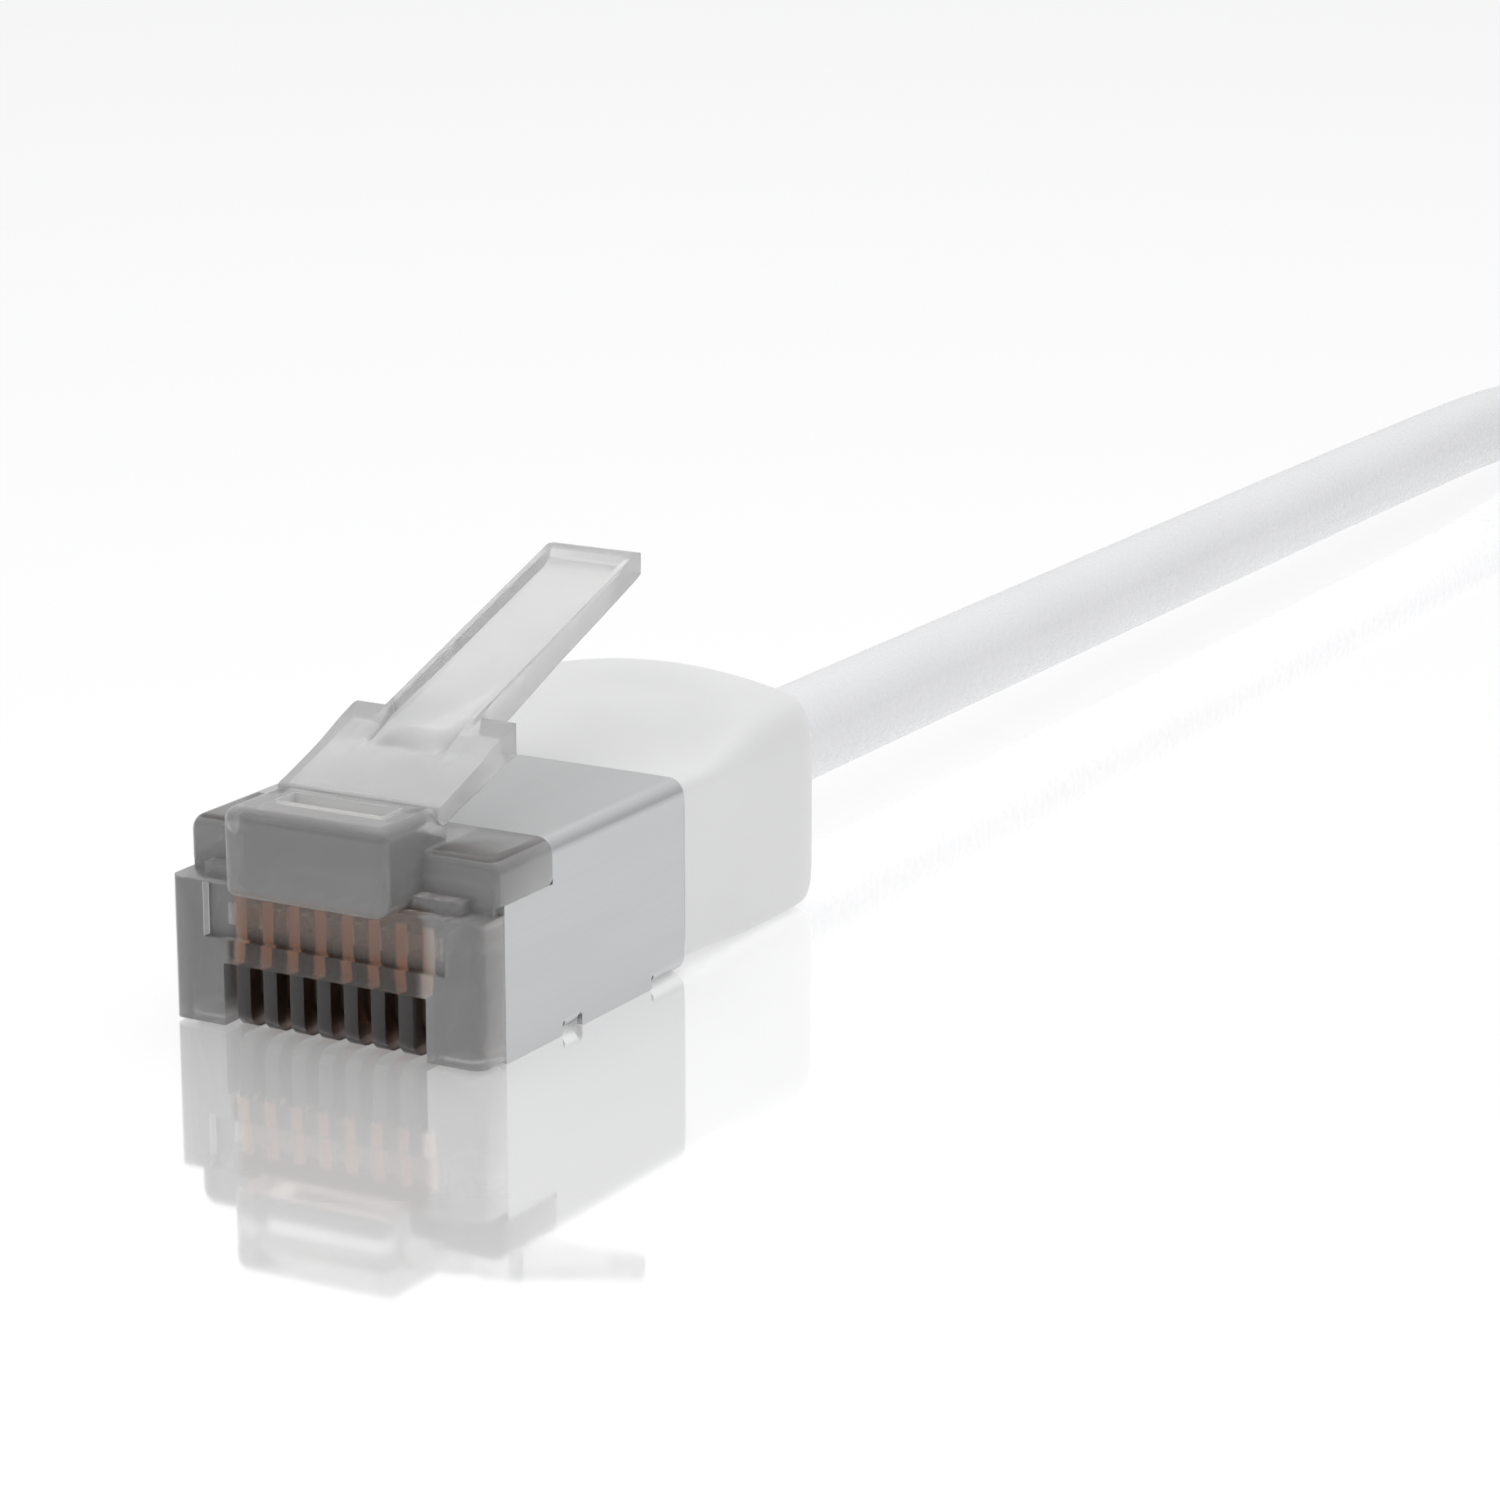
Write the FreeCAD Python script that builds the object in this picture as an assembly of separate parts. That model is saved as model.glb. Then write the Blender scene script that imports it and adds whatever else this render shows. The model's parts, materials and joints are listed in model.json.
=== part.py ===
import FreeCAD, Part
import math
import os

from FreeCAD import Vector

# Shielded ethernet patch lead: two 8-contact modular plugs with moulded boots on a slim round cable.
#
# Millimetres, +Z up. A plug is drawn in plug axes: x across the contacts, y from the nose towards
# the cable, z from the side of the contacts up to the latch. The near plug is then set down with
# its nose towards -Y. The origin is under the middle of its length, on the surface that it lies on.
# The cable runs off towards +Y into a tied hank, and ends in the far plug.

# Plug body
PLUG_HALF_WIDTH = 5.84
PLUG_LENGTH = 12.4
BODY_TOP = 6.47
NOSE_TOP = 4.69
SHOULDER_FRONT = 1.1
SHOULDER_REAR = 4.24
SHOULDER_BOTTOM = 4.98
RIDGE_HALF_WIDTH = 4.82
RIDGE_FRONT = 0.54
RIDGE_TOP = 5.14
TOWER_ROUND = 0.42
EDGE_ROUND = 0.35

# Contacts, and the ribs between their slots
CONTACTS = 8
CONTACT_PITCH = 1.02
SLOT_WIDTH = 0.5
SLOT_TOP = 2.07
SLOT_REAR = 5.6
RIB_ROUND = 0.6
FRONT_WALL = 0.8
POCKET_HALF_WIDTH = 4.55
POCKET_DEPTH = 0.33
POCKET_BOTTOM = 2.86
BLADE_THICKNESS = 0.42
BLADE_GAP = 0.02
BLADE_FRONT = 0.85
BLADE_REAR = 4.5
BLADE_BOTTOM = 0.5
BLADE_FRONT_TOP = 4.15
TOOTH_ROOT = 2.9
TOOTH_PLACES = (1.6, 2.65, 3.7)
TOOTH_HALF = 0.32

# Hollows of the housing: the wires' row, the guide's room, and the funnel behind it
WIRE_ROW_SPACE = (4.1, (0.9, 6.5))
GUIDE_SPACE = (4.3, (6.3, 9.6), (2.55, 4.45))
FUNNEL_HALF_WIDTH = 4.7
FUNNEL_SIDE = ((9.5, 2.55), (9.5, 4.45), (11.0, 5.3), (13.0, 5.3), (13.0, 1.1), (11.0, 1.1))
GUIDE_BAR = (4.25, (6.6, 8.8), (2.6, 4.4))

# Latch, in its free position
LATCH_HALF_WIDTH = 3.05
LATCH_FRONT = -1.03
ROOT_BOTTOM = 4.66
ROOT_TOP = 7.55
HINGE_Y = 2.4
HINGE_Z = 7.3
KNUCKLE_RADIUS = 0.36
KNUCKLE_GAP = 0.03
ROOT_SLOT = (2.0, (0.53, 1.57), 6.95)
EAR_FRONT_TOP = 9.28
EAR_REAR = 6.65
EAR_BOTTOM = 8.22
LEVER_HALF_WIDTH = 1.73
LEVER_FOOT = (4.85, 8.55)
LEVER_START = (6.3, 9.38)
LEVER_TIP = (16.6, 12.93)
LEVER_TIP_BOTTOM = 12.01
TROUGH_DEPTH = 0.3
TROUGH_RIM = 0.1
TROUGH_WALL = 0.34
CROWN_HALF_WIDTH = 1.38
CROWN_ROUND = 0.3

# Shield
SHEET = 0.2
SHIELD_FRONT = 1.42
SHIELD_BOTTOM = -0.12
BEND_RADIUS = 0.55
TAB_EDGES = (4.85, 5.83, 10.37)
TAB_GAP_HALF = 3.7
SLIT_HALF_WIDTH = 0.11
SLIT_TOP = 0.3
STRAP_HALF_WIDTH = 1.3

# Wires and cable
CABLE_DIAMETER = 3.64
CABLE_RADIUS = CABLE_DIAMETER / 2
CABLE_Z = 3.2
INSULATION_RADIUS = 0.31
CORE_RADIUS = 0.16
ROW_Z = 3.5
BUNDLE_RADIUS = 0.9
BUNDLE_BORE = 1.36
WIRE_BEND_SHARE = 0.3
JACKET_START = 15.0
BUNDLE_END = 17.5
BRAID_THICKNESS = 0.15
BRAID_SPAN = (15.4, 19.0)
COLLAR_SPAN = (15.8, 18.2)

# Moulded boot, and the stiff first moulding inside it
BOOT_REAR = 22.35
BOOT_BOTTOM = -0.14
BOOT_CREST = 7.96
BOOT_CORNER = 1.4
DISH_SIZE = (4.9, 7.0, 3.1)
DISH_MIDDLE = (13.4, 9.38)
MOULD_REAR = 19.6
MOULD_HALF_WIDTH = 4.7
MOULD_SPAN_Z = (0.75, 5.55)
MOULD_WALL = 0.5
POCKET_REAR = 14.8

# Where the near plug lies
PLUG_MIDDLE = (LATCH_FRONT + BOOT_REAR) / 2
LIFT = -BOOT_BOTTOM
EXIT_Y = BOOT_REAR - PLUG_MIDDLE
EXIT_Z = CABLE_Z + LIFT

# Hank: each turn has two round ends, and its two sides are drawn in to a waist that the tie holds
HANK_RADIUS = 3.05 * CABLE_DIAMETER
HANK_NEAR = 108.0
HANK_FAR = HANK_NEAR + 42.0
HANK_MIDDLE = (HANK_NEAR + HANK_FAR) / 2
WAIST_HALF = CABLE_RADIUS + 0.06
TIE_WIDTH = 8.0
TIE_SHEET = 0.6
LAYER_RISE = CABLE_DIAMETER + 0.1
LAYER = [CABLE_RADIUS + k * LAYER_RISE for k in range(3)]
WAY_IN_ROOM = 0.5

# Cable routes: from the near boot to the hank, and from the hank to the far boot
CABLE_POINTS = [
    (0, EXIT_Y, EXIT_Z),
    (0, 33.0, 3.338),
    (0, 58.0, 3.32),
    (0, 80.0, 3.27),
    (0, 93.5, 3.1),
    (0, 102.0, 2.15),
    (0, HANK_NEAR, LAYER[0]),
]
TAIL_POINTS = [
    (0, HANK_FAR, LAYER[2]),
    (0, HANK_FAR + 10.5, 9.55),
    (0, HANK_FAR + 23.5, 3.41),
    (0, HANK_FAR + 34.5, EXIT_Z),
]


def block(x, y, z):
    """A box from three (low, high) pairs."""
    size = [high - low for low, high in (x, y, z)]
    return Part.makeBox(*size, Vector(x[0], y[0], z[0]))


def wide(half, y, z):
    """A box centred on the plug's middle plane."""
    return block((-half, half), y, z)


def rod(radius, y, x=0.0, z=CABLE_Z):
    """A cylinder along the plug."""
    return Part.makeCylinder(radius, y[1] - y[0], Vector(x, y[0], z), Vector(0, 1, 0))


def rod_across(radius, half, y, z):
    """A cylinder across the plug."""
    return Part.makeCylinder(radius, 2 * half, Vector(-half, y, z), Vector(1, 0, 0))


def rounded_face(corners, radii):
    """A flat face through the corners, with an arc at each corner that has a radius."""
    edges = []
    start = last = None
    for i, (here, radius) in enumerate(zip(corners, radii)):
        back = (corners[i - 1] - here).normalize()
        ahead = (corners[(i + 1) % len(corners)] - here).normalize()
        a = b = here
        if radius:
            half = back.getAngle(ahead) / 2
            reach = radius / math.tan(half)
            a, b = here + back * reach, here + ahead * reach
            middle = here + (back + ahead).normalize() * (radius / math.sin(half) - radius)
        if last is not None:
            edges.append(Part.LineSegment(last, a).toShape())
        if radius:
            edges.append(Part.Arc(a, middle, b).toShape())
        start = start or a
        last = b
    edges.append(Part.LineSegment(last, start).toShape())
    return Part.Face(Part.Wire(edges))


def side_shape(half, points):
    """A side outline made solid across the plug. Its points are (y, z), or (y, z, radius)."""
    corners = [Vector(-half, p[0], p[1]) for p in points]
    radii = [p[2] if len(p) > 2 else 0 for p in points]
    return rounded_face(corners, radii).extrude(Vector(2 * half, 0, 0))


def round_edges(solid, radius, wanted):
    """Rounds the edges for which wanted(middle of the edge, its direction) is true."""
    chosen = []
    for edge in solid.Edges:
        middle = edge.valueAt((edge.FirstParameter + edge.LastParameter) / 2)
        if wanted(middle, edge.tangentAt(edge.FirstParameter)):
            chosen.append(edge)
    return solid.makeFillet(radius, chosen)


def route(points, share, name=None):
    """A wire of straight runs joined by tangent arcs that take this share of the shorter run."""
    corners = [Vector(*p) for p in points]
    edges, last = [], corners[0]
    for before, here, after in zip(corners, corners[1:], corners[2:]):
        back, ahead = before - here, after - here
        reach = share * min(back.Length, ahead.Length)
        half_turn = (math.pi - back.getAngle(ahead)) / 2
        radius = reach / math.tan(half_turn)
        back.normalize()
        ahead.normalize()
        a, b = here + back * reach, here + ahead * reach
        middle = here + (back + ahead).normalize() * (radius / math.cos(half_turn) - radius)
        edges.append(Part.LineSegment(last, a).toShape())
        edges.append(Part.Arc(a, middle, b).toShape())
        last = b
        if name:
            print(f"{name}: bend radius {radius:.0f} mm")
    edges.append(Part.LineSegment(last, corners[-1]).toShape())
    return Part.Wire(edges)


def tube(points, radius, share=0.45, name=None):
    """A solid round rod along a route. With a name it prints its length and volume."""
    path = route(points, share, name)
    start = Vector(*points[0])
    ring = Part.Wire(Part.makeCircle(radius, start, Vector(*points[1]) - start))
    solid = path.makePipeShell([ring], True, False)
    if name:
        ideal = math.pi * radius**2 * path.Length
        print(f"{name}: {path.Length:.1f} mm long, {solid.Volume:.1f} mm3, section x length {ideal:.1f}")
    return solid


def contact_x(i):
    return (i - (CONTACTS - 1) / 2) * CONTACT_PITCH


def housing():
    """Clear moulding: nose towers, ribs, front wall, shoulders, and the root that the latch grows from."""
    inside = PLUG_HALF_WIDTH - SHEET
    nose = wide(PLUG_HALF_WIDTH, (0, SHIELD_FRONT), (0, NOSE_TOP))
    nose = round_edges(nose, TOWER_ROUND, lambda m, d: m.y < 0.01 and abs(d.z) > 0.9)
    body = wide(inside, (SHIELD_FRONT, PLUG_LENGTH), (SHIELD_BOTTOM + SHEET, BODY_TOP - SHEET))
    body = round_edges(body, BEND_RADIUS - SHEET, lambda m, d: abs(d.y) > 0.9)
    shoulders = wide(PLUG_HALF_WIDTH, (SHOULDER_FRONT, SHOULDER_REAR), (SHOULDER_BOTTOM, BODY_TOP))
    shoulders = round_edges(shoulders, BEND_RADIUS, lambda m, d: m.z > 6 and abs(d.y) > 0.9)
    shoulders = round_edges(shoulders, EDGE_ROUND, on_shoulder_front)
    ridge = wide(RIDGE_HALF_WIDTH, (RIDGE_FRONT, SHIELD_FRONT), (NOSE_TOP - 1, RIDGE_TOP))
    step = wide(inside, (SHOULDER_FRONT, SHIELD_FRONT + 1), (NOSE_TOP - 1, SHOULDER_BOTTOM))
    solid = nose.fuse([body, shoulders, ridge, step, latch_root()])
    return solid.cut(housing_hollows()).removeSplitter()


def on_shoulder_front(middle, direction):
    return middle.z > SHOULDER_BOTTOM + 0.1 and middle.y < SHOULDER_FRONT + 0.01


def latch_root():
    """The block over the nose that the latch grows from."""
    root = side_shape(LATCH_HALF_WIDTH, [
        (LATCH_FRONT, ROOT_BOTTOM, 0.2),
        (LATCH_FRONT, ROOT_TOP, 0.45),
        (HINGE_Y + KNUCKLE_RADIUS / 2, ROOT_TOP),
        (HINGE_Y, BODY_TOP - 1),
        (HINGE_Y, ROOT_BOTTOM),
    ])
    return round_edges(root, TOWER_ROUND, lambda m, d: m.y < LATCH_FRONT + 0.01 and abs(d.z) > 0.9)


def housing_hollows():
    """What is cut from the housing: blade slots, front pocket, wire ways, and the slot in the root."""
    cuts = []
    for i in range(CONTACTS):
        x = contact_x(i)
        half = SLOT_WIDTH / 2
        cuts.append(block((x - half, x + half), (-1, SLOT_REAR), (-1, SLOT_TOP)))
        half = BLADE_THICKNESS / 2 + BLADE_GAP
        cuts.append(block((x - half, x + half), (FRONT_WALL, BLADE_REAR + 0.1), (1, BLADE_FRONT_TOP + 0.05)))
    ribs_half = contact_x(CONTACTS - 1)
    rib_nose = block((-ribs_half, ribs_half), (-1, RIB_ROUND), (-1, RIB_ROUND))
    cuts.append(rib_nose.cut(rod_across(RIB_ROUND, ribs_half, RIB_ROUND, RIB_ROUND)))
    cuts.append(wide(POCKET_HALF_WIDTH, (-2, POCKET_DEPTH), (POCKET_BOTTOM, ROOT_BOTTOM)))
    row_half = INSULATION_RADIUS + 0.06
    cuts.append(wide(*WIRE_ROW_SPACE, (ROW_Z - row_half, ROW_Z + row_half)))
    cuts.append(wide(*GUIDE_SPACE))
    cuts.append(side_shape(FUNNEL_HALF_WIDTH, FUNNEL_SIDE))
    slot_half, (front, rear), floor = ROOT_SLOT
    slot = [(front, ROOT_TOP + 1), (front, floor, 0.15), (rear, floor, 0.15), (rear, ROOT_TOP + 1)]
    cuts.append(side_shape(slot_half, slot))
    cuts.append(rod_across(KNUCKLE_RADIUS + KNUCKLE_GAP, LATCH_HALF_WIDTH + 1, HINGE_Y, HINGE_Z))
    return cuts


def latch():
    """Arm with its two locking ears, the knuckle that it bends at, and the lever with its tray."""
    arm = side_shape(LATCH_HALF_WIDTH, [
        (HINGE_Y, HINGE_Z + KNUCKLE_RADIUS),
        (3.3, 7.98, 2),
        (4.47, 8.42, 2),
        (6.44, EAR_FRONT_TOP, 0.12),
        (EAR_REAR, EAR_FRONT_TOP - 0.25, 0.08),
        (EAR_REAR, EAR_BOTTOM),
        (3.0, 7.15, 1),
        (HINGE_Y, HINGE_Z - KNUCKLE_RADIUS),
    ])
    knuckle = rod_across(KNUCKLE_RADIUS, LATCH_HALF_WIDTH, HINGE_Y, HINGE_Z)
    lever = side_shape(LEVER_HALF_WIDTH, [
        (4.6, 8.0),
        LEVER_FOOT,
        (5.75, 8.88, 2.2),
        (*LEVER_START, 0.4),
        (*LEVER_TIP, 0.1),
        (LEVER_TIP[0] + 0.08, LEVER_TIP_BOTTOM, 0.12),
        (8.17, 8.8, 3),
        (6.4, 8.15),
    ])
    return arm.fuse([knuckle, lever]).cut(trough()).fuse(crown()).removeSplitter()


def crown():
    """The swell at the foot of the tray, between its two rims."""
    solid = side_shape(CROWN_HALF_WIDTH, [
        (4.5, 8.1),
        (4.72, 8.42),
        (5.2, 8.98, 0.6),
        (7.6, 9.52),
        (7.6, 9.1),
        (6.0, 8.4),
    ])

    def on_upper_side(middle, direction):
        side = abs(middle.x) > 1 and abs(direction.x) < 0.1
        return side and middle.z > 8.2 and (middle.y < 5.0 or 8.9 < middle.z) and middle.y < 7.5

    return round_edges(solid, CROWN_ROUND, on_upper_side)


def trough():
    """The shallow tray along the top of the lever, with a sloping wall at each side and at the tip."""
    start = Vector(0, *LEVER_START)
    along = Vector(0, *LEVER_TIP) - start
    top_half = LEVER_HALF_WIDTH - TROUGH_RIM
    slope = TROUGH_WALL / TROUGH_DEPTH

    def outline(depth):
        half = top_half - slope * depth
        end = along.Length - TROUGH_RIM - slope * depth
        corners = [(-half, -0.4), (half, -0.4), (half, end), (-half, end)]
        return Part.makePolygon([Vector(x, y, -depth) for x, y in corners + corners[:1]])

    cutter = Part.makeLoft([outline(-0.2), outline(TROUGH_DEPTH)], True, True)
    cutter.rotate(Vector(0, 0, 0), Vector(1, 0, 0), math.degrees(math.atan2(along.z, along.y)))
    cutter.translate(start)
    return cutter


def contact(i):
    """One gold-plated blade: its nose below, a straight front edge, and three teeth that pierce the wire."""
    tooth_top = ROW_Z - CORE_RADIUS
    teeth = []
    for y in TOOTH_PLACES:
        teeth += [(y - TOOTH_HALF, TOOTH_ROOT), (y, tooth_top), (y + TOOTH_HALF, TOOTH_ROOT)]
    blade = side_shape(BLADE_THICKNESS / 2, [
        (BLADE_FRONT, BLADE_BOTTOM, 0.6),
        (BLADE_FRONT, BLADE_FRONT_TOP, 0.12),
        (BLADE_FRONT + 0.28, BLADE_FRONT_TOP, 0.12),
        *teeth,
        (BLADE_REAR, TOOTH_ROOT, 0.3),
        (BLADE_REAR, BLADE_BOTTOM, 0.8),
    ])
    blade.translate(Vector(contact_x(i), 0, 0))
    return blade


def bundle_place(i):
    """Where wire i lies in the cable: one wire in the middle and seven round it, in the row's order."""
    ring = CONTACTS - 1
    places = [(0.0, 0.0)]
    for k in range(ring):
        angle = math.radians(90 + 360 / ring * k)
        places.append((BUNDLE_RADIUS * math.cos(angle), BUNDLE_RADIUS * math.sin(angle)))
    return sorted(places, key=lambda p: (round(p[0], 3), p[1]))[i]


def wire_points(i):
    """From the front wall straight back through the guide, then in to the wire's place in the bundle."""
    x = contact_x(i)
    bundle_x, bundle_z = bundle_place(i)
    return [
        (x, FRONT_WALL + 0.45, ROW_Z),
        (x, 10.2, ROW_Z),
        (bundle_x, 14.6, CABLE_Z + bundle_z),
        (bundle_x, BUNDLE_END, CABLE_Z + bundle_z),
    ]


def wire_guide():
    """Clear bar with eight holes that keeps the wires in order behind the blades."""
    bar = wide(*GUIDE_BAR)
    bar = round_edges(bar, 0.25, lambda m, d: abs(d.y) > 0.9)
    bore = INSULATION_RADIUS + 0.01
    holes = [rod(bore, GUIDE_SPACE[1], contact_x(i), ROW_Z) for i in range(CONTACTS)]
    return bar.cut(holes)


def shield_section(y, closed):
    """A length of the folded sheet. It is open below, or closed where its tabs are folded under."""
    low = SHIELD_BOTTOM + SHEET if closed else SHIELD_BOTTOM - 1
    outer = wide(PLUG_HALF_WIDTH, y, (SHIELD_BOTTOM, BODY_TOP))
    inner = wide(PLUG_HALF_WIDTH - SHEET, y, (low, BODY_TOP - SHEET))
    outer = round_edges(outer, BEND_RADIUS, lambda m, d: abs(d.y) > 0.9 and (closed or m.z > 5))
    inner = round_edges(inner, BEND_RADIUS - SHEET, lambda m, d: abs(d.y) > 0.9 and (closed or m.z > 5))
    return outer.cut(inner)


def shield():
    """Folded sheet over the housing, and the tail that grips the braid."""
    edges = (SHIELD_FRONT, *TAB_EDGES, PLUG_LENGTH)
    sections = []
    for k, y in enumerate(zip(edges, edges[1:])):
        sections.append(shield_section(y, closed=k % 2 == 1))
    skin = sections[0].fuse(sections[1:])
    notch = side_shape(PLUG_HALF_WIDTH + 1, [
        (0, SHOULDER_BOTTOM),
        (0, BODY_TOP + 1),
        (SHOULDER_REAR, BODY_TOP + 1),
        (SHOULDER_REAR, SHOULDER_BOTTOM, 0.25),
    ])
    cuts = [notch, wide(TAB_GAP_HALF, (TAB_EDGES[0], TAB_EDGES[1]), (-1, 1))]
    for y in TAB_EDGES:
        cuts.append(side_shape(PLUG_HALF_WIDTH + 1, [
            (y - SLIT_HALF_WIDTH, -1),
            (y - SLIT_HALF_WIDTH, SLIT_TOP, 0.1),
            (y + SLIT_HALF_WIDTH, SLIT_TOP, 0.1),
            (y + SLIT_HALF_WIDTH, -1),
        ]))
    return skin.cut(cuts).fuse(crimp_tail()).removeSplitter()


def crimp_tail():
    """A strap from the bottom of the shield up to the collar that grips the folded braid."""
    inside = CABLE_RADIUS + BRAID_THICKNESS
    grip = rod(inside, COLLAR_SPAN)
    collar = rod(inside + SHEET, COLLAR_SPAN).cut(grip)
    low, high = SHIELD_BOTTOM, CABLE_Z - inside - SHEET
    strap_rise = (PLUG_LENGTH + 0.3, COLLAR_SPAN[0] - 0.6)
    strap = side_shape(STRAP_HALF_WIDTH, [
        (PLUG_LENGTH - 1.5, low),
        (strap_rise[0], low),
        (strap_rise[1], high),
        (COLLAR_SPAN[1], high),
        (COLLAR_SPAN[1], high + SHEET),
        (strap_rise[1] - 0.08, high + SHEET),
        (strap_rise[0] - 0.08, low + SHEET),
        (PLUG_LENGTH - 1.5, low + SHEET),
    ])
    return strap.cut(grip).fuse(collar)


def braid():
    """Screen braid folded back over the end of the jacket."""
    return rod(CABLE_RADIUS + BRAID_THICKNESS, BRAID_SPAN).cut(rod(CABLE_RADIUS, BRAID_SPAN))


def cable_end():
    """The stretch of the cable inside the boot. The wires end in its bore."""
    solid = rod(CABLE_RADIUS, (JACKET_START, BOOT_REAR))
    return solid.cut(rod(BUNDLE_BORE, (JACKET_START, BUNDLE_END)))


def mould_block():
    solid = wide(MOULD_HALF_WIDTH, (PLUG_LENGTH, MOULD_REAR), MOULD_SPAN_Z)
    return round_edges(solid, 0.8, lambda m, d: m.y > MOULD_REAR - 0.01)


def inner_mould(inside):
    """Stiff first moulding round the crimp. It is shaped by the pieces inside it."""
    low, high = MOULD_SPAN_Z
    half = MOULD_HALF_WIDTH - MOULD_WALL
    pocket = wide(half, (PLUG_LENGTH - 1, POCKET_REAR), (low + 0.3, high - 0.3))
    throat = rod(BUNDLE_BORE, (POCKET_REAR - 1, JACKET_START))
    return mould_block().cut([pocket, throat, rod(CABLE_RADIUS, (JACKET_START, BOOT_REAR)), *inside])


def boot(inside):
    """Soft moulded boot: flush with the shield in front, crowned behind, with a thumb dish on top."""
    side = side_shape(PLUG_HALF_WIDTH + 1, [
        (PLUG_LENGTH, SHIELD_BOTTOM + 0.2),
        (14.8, SHIELD_BOTTOM + 0.2, 6),
        (18.0, BOOT_BOTTOM, 6),
        (BOOT_REAR, BOOT_BOTTOM, BOOT_CORNER),
        (BOOT_REAR, BOOT_CREST, 0.5),
        (20.6, BOOT_CREST, 6),
        (PLUG_LENGTH, BODY_TOP),
    ])
    plan = wide(PLUG_HALF_WIDTH, (PLUG_LENGTH, BOOT_REAR), (-2, 10))
    plan = round_edges(plan, BOOT_CORNER, lambda m, d: abs(d.z) > 0.9 and m.y > MOULD_REAR)
    outline = (
        (-PLUG_HALF_WIDTH, BOOT_BOTTOM, 0.5),
        (PLUG_HALF_WIDTH, BOOT_BOTTOM, 0.5),
        (PLUG_HALF_WIDTH, 7.0, 1.0),
        (2.9, BOOT_CREST, 5),
        (-2.9, BOOT_CREST, 5),
        (-PLUG_HALF_WIDTH, 7.0, 1.0),
    )
    corners = [Vector(x, PLUG_LENGTH, z) for x, z, _ in outline]
    arch = rounded_face(corners, [radius for _, _, radius in outline])
    arch = arch.extrude(Vector(0, BOOT_REAR - PLUG_LENGTH, 0))
    dish = Part.makeSphere(1.0)
    stretch = FreeCAD.Matrix()
    stretch.scale(Vector(*DISH_SIZE))
    dish = dish.transformGeometry(stretch)
    dish.translate(Vector(0, *DISH_MIDDLE))
    shape = side.common(plan).common(arch)
    return shape.cut([dish, mould_block(), rod(CABLE_RADIUS, (MOULD_REAR - 1, BOOT_REAR + 1)), *inside])


def plug_pieces():
    """Every piece of one plug in plug axes. The contacts and wires are lists of eight."""
    contacts = [contact(i) for i in range(CONTACTS)]
    cores = [tube(wire_points(i), CORE_RADIUS, WIRE_BEND_SHARE) for i in range(CONTACTS)]
    wires = []
    for i in range(CONTACTS):
        insulation = tube(wire_points(i), INSULATION_RADIUS, WIRE_BEND_SHARE)
        wires.append(insulation.cut([cores[i], contacts[i]]))
    skin = shield()
    return {
        "housing": housing(),
        "latch": latch(),
        "shield": skin,
        "contact": contacts,
        "wire": wires,
        "wire_cores": Part.makeCompound(cores),
        "wire_guide": wire_guide(),
        "braid": braid(),
        "cable_end": cable_end(),
        "inner_mould": inner_mould([skin, braid()]),
        "boot": boot([skin]),
    }


def near_plug(pieces):
    """The near plug's nodes, where they lie. Each contact and each wire has a node."""
    nodes = {}
    for name, piece in pieces.items():
        if isinstance(piece, list):
            nodes.update({f"{name}_{i + 1}": one.copy() for i, one in enumerate(piece)})
        else:
            nodes[name] = piece.copy()
    for shape in nodes.values():
        shape.translate(Vector(0, -PLUG_MIDDLE, LIFT))
    return nodes


def far_plug(pieces):
    """The far plug's nodes, turned end for end so that the boot meets the cable's tail."""
    nodes = {}
    for name, piece in pieces.items():
        if isinstance(piece, list):
            nodes[f"far_{name}s"] = Part.makeCompound([one.copy() for one in piece])
        else:
            nodes[f"far_{name}"] = piece.copy()
    for shape in nodes.values():
        shape.rotate(Vector(0, 0, 0), Vector(0, 0, 1), 180)
        shape.translate(Vector(0, TAIL_POINTS[-1][1] + BOOT_REAR, LIFT))
    return nodes


def waist_bend():
    """Radius and angle of the four bends that draw each side of a turn in to the waist and out again."""
    drawn_in = HANK_RADIUS - WAIST_HALF
    half_run = (HANK_FAR - HANK_NEAR) / 2
    return (half_run**2 + drawn_in**2) / (4 * drawn_in), 2 * math.atan(drawn_in / half_run)


def hank_outline(offset, z):
    """Outline of one turn of the hank seen from above, moved outwards by offset."""
    bend, turn = waist_bend()
    shoulder, waist = HANK_RADIUS - bend, WAIST_HALF + bend
    half = math.pi
    arcs = [
        (shoulder, HANK_NEAR, bend + offset, 0, turn),
        (waist, HANK_MIDDLE, bend - offset, half + turn, half - turn),
        (shoulder, HANK_FAR, bend + offset, -turn, 0),
        (0, HANK_FAR, HANK_RADIUS + offset, 0, half),
        (-shoulder, HANK_FAR, bend + offset, half, half + turn),
        (-waist, HANK_MIDDLE, bend - offset, turn, -turn),
        (-shoulder, HANK_NEAR, bend + offset, half - turn, half),
        (0, HANK_NEAR, HANK_RADIUS + offset, half, 2 * half),
    ]
    edges = []
    for x, y, radius, start, end in arcs:
        ends = [Vector(HANK_RADIUS + x + radius * math.cos(a), y + radius * math.sin(a), z)
                for a in (start, (start + end) / 2, end)]
        edges.append(Part.Arc(*ends).toShape())
    return Part.Face(Part.Wire(edges))


def hank_layers(low, high):
    """A slab with the outer shape of the turns, open inside each loop."""
    rise = Vector(0, 0, high - low)
    outer = hank_outline(CABLE_RADIUS, low).extrude(rise)
    return outer.cut(hank_outline(-CABLE_RADIUS, low).extrude(rise))


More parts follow.
